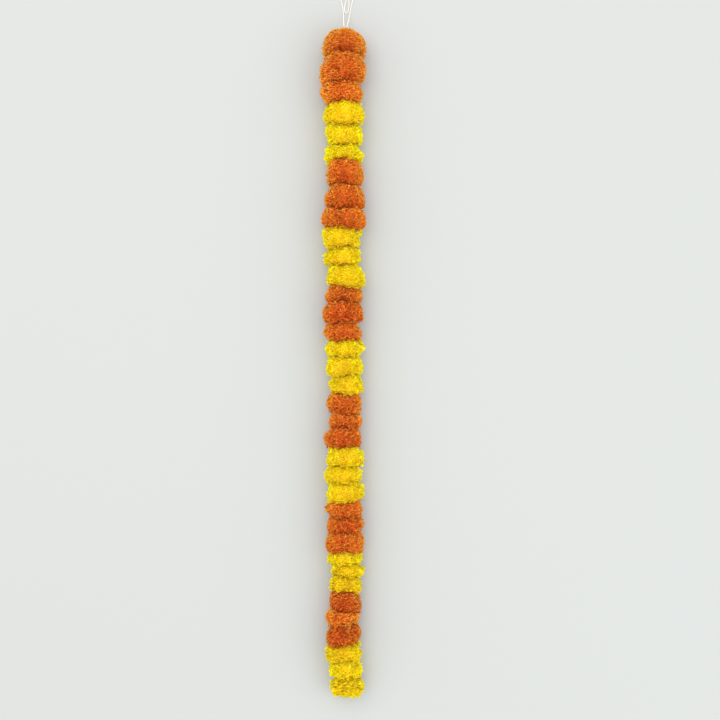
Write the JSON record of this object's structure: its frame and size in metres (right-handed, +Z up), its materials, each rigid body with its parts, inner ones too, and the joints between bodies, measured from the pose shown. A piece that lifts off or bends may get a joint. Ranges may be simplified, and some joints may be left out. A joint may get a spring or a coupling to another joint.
{
  "type": "marigold garland",
  "caption": "Straight garland of orange and yellow marigold blooms packed face to calyx on a doubled cotton thread, lying flat, with a hanging loop tied in a bow knot.",
  "frame": {"origin": "on the surface that the garland lies on, under the middle of the box of its blooms", "axes": "+Y along the thread towards the hanging loop, +Z up from the surface, +X to the right when the hanging loop is at the far end"},
  "size_m": [0.0714, 1.0621, 0.0649],
  "materials": {
    "petals_orange": "soft, slightly translucent fresh petals, matt with a faint sheen",
    "petals_yellow": "soft, slightly translucent fresh petals, matt with a faint sheen",
    "calyx_green": "fresh green calyx, matt, with fine ribs",
    "cotton_thread": "twisted cotton, matt"
  },
  "bodies": {
    "root": {"bloom_01_orange": "petals_orange", "bloom_02_orange": "petals_orange", "bloom_03_orange": "petals_orange", "bloom_04_yellow": "petals_yellow", "bloom_05_yellow": "petals_yellow", "bloom_06_yellow": "petals_yellow", "bloom_07_orange": "petals_orange", "bloom_08_orange": "petals_orange", "bloom_09_orange": "petals_orange", "bloom_10_yellow": "petals_yellow", "bloom_11_yellow": "petals_yellow", "bloom_12_yellow": "petals_yellow", "bloom_13_orange": "petals_orange", "bloom_14_orange": "petals_orange", "bloom_15_orange": "petals_orange", "bloom_16_yellow": "petals_yellow", "bloom_17_yellow": "petals_yellow", "bloom_18_yellow": "petals_yellow", "bloom_19_orange": "petals_orange", "bloom_20_orange": "petals_orange", "bloom_21_orange": "petals_orange", "bloom_22_yellow": "petals_yellow", "bloom_23_yellow": "petals_yellow", "bloom_24_yellow": "petals_yellow", "bloom_25_orange": "petals_orange", "bloom_26_orange": "petals_orange", "bloom_27_orange": "petals_orange", "bloom_28_yellow": "petals_yellow", "bloom_29_yellow": "petals_yellow", "bloom_30_yellow": "petals_yellow", "bloom_31_orange": "petals_orange", "bloom_32_orange": "petals_orange", "bloom_33_orange": "petals_orange", "bloom_34_yellow": "petals_yellow", "bloom_35_yellow": "petals_yellow", "bloom_36_yellow": "petals_yellow", "calyx": "calyx_green", "stop_knot": "cotton_thread", "thread_left": "cotton_thread", "thread_right": "cotton_thread", "hanging_thread": "cotton_thread", "bow_loop": "cotton_thread", "bow_knot": "cotton_thread"}
  },
  "joints": []
}
